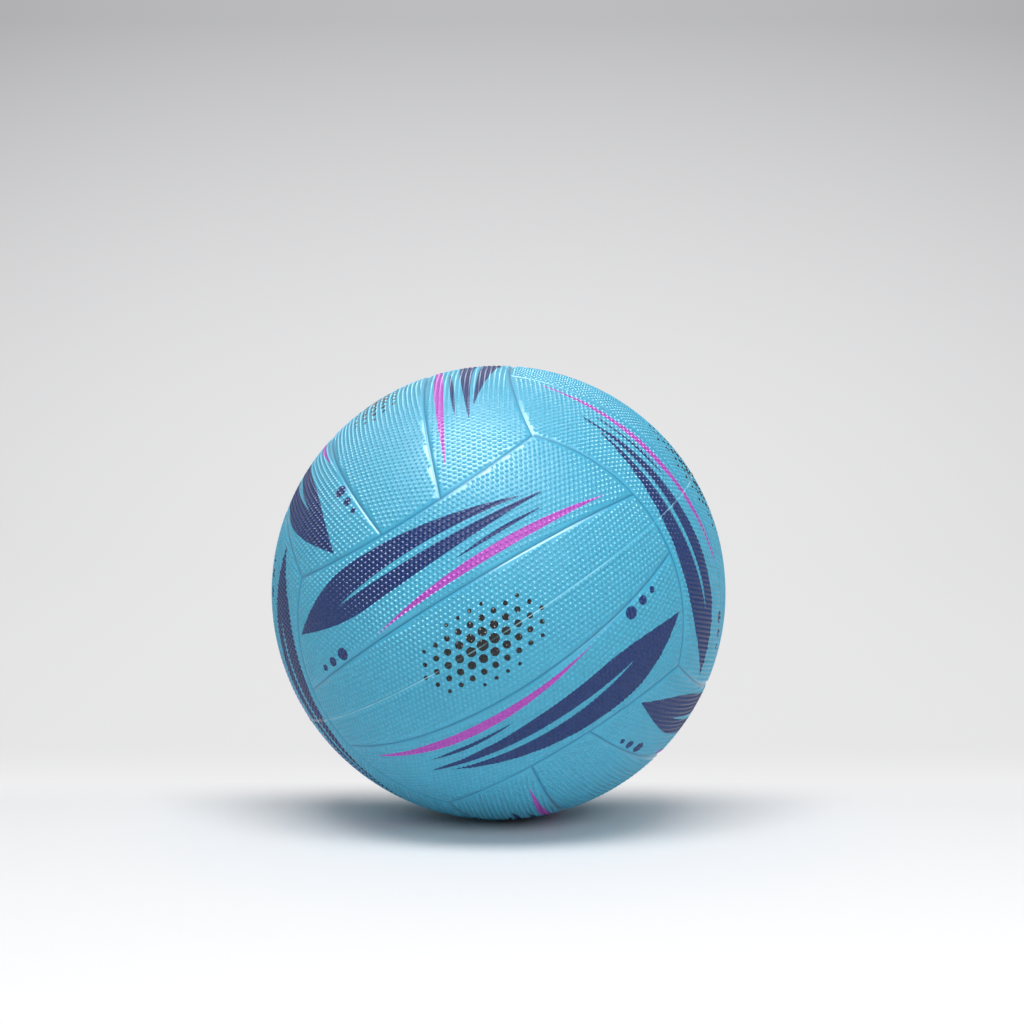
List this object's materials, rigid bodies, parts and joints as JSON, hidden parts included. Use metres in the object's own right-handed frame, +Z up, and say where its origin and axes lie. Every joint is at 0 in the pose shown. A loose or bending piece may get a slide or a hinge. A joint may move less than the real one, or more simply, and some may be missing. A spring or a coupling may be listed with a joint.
{
  "type": "netball",
  "caption": "Inflated match ball with strip panels in a cyclic cube layout, pimpled rubber cover, thread-wound carcass, bladder and needle valve.",
  "frame": {"origin": "the ball's centre", "axes": "+Z up as the ball rests, -Y towards the viewer of the picture, +X to the viewer's right"},
  "size_m": [0.2228, 0.2228, 0.2228],
  "materials": {
    "cover_rubber": "satin, pimpled",
    "carcass_rubber": "matte",
    "thread": "wound thread",
    "butyl": "satin",
    "valve_rubber": "satin",
    "core_rubber": "satin"
  },
  "bodies": {
    "root": {"panel_front_upper": "cover_rubber", "panel_front_middle": "cover_rubber", "panel_front_lower": "cover_rubber", "panel_back_upper": "cover_rubber", "panel_back_middle": "cover_rubber", "panel_back_lower": "cover_rubber", "panel_right_front": "cover_rubber", "panel_right_middle": "cover_rubber", "panel_right_back": "cover_rubber", "panel_left_back": "cover_rubber", "panel_left_middle": "cover_rubber", "panel_left_front": "cover_rubber", "panel_top_right": "cover_rubber", "panel_top_middle": "cover_rubber", "panel_top_left": "cover_rubber", "panel_base_left": "cover_rubber", "panel_base_middle": "cover_rubber", "panel_base_right": "cover_rubber", "carcass": "carcass_rubber", "winding": "thread", "bladder": "butyl", "valve_body": "valve_rubber", "valve_core": "core_rubber"}
  },
  "joints": []
}
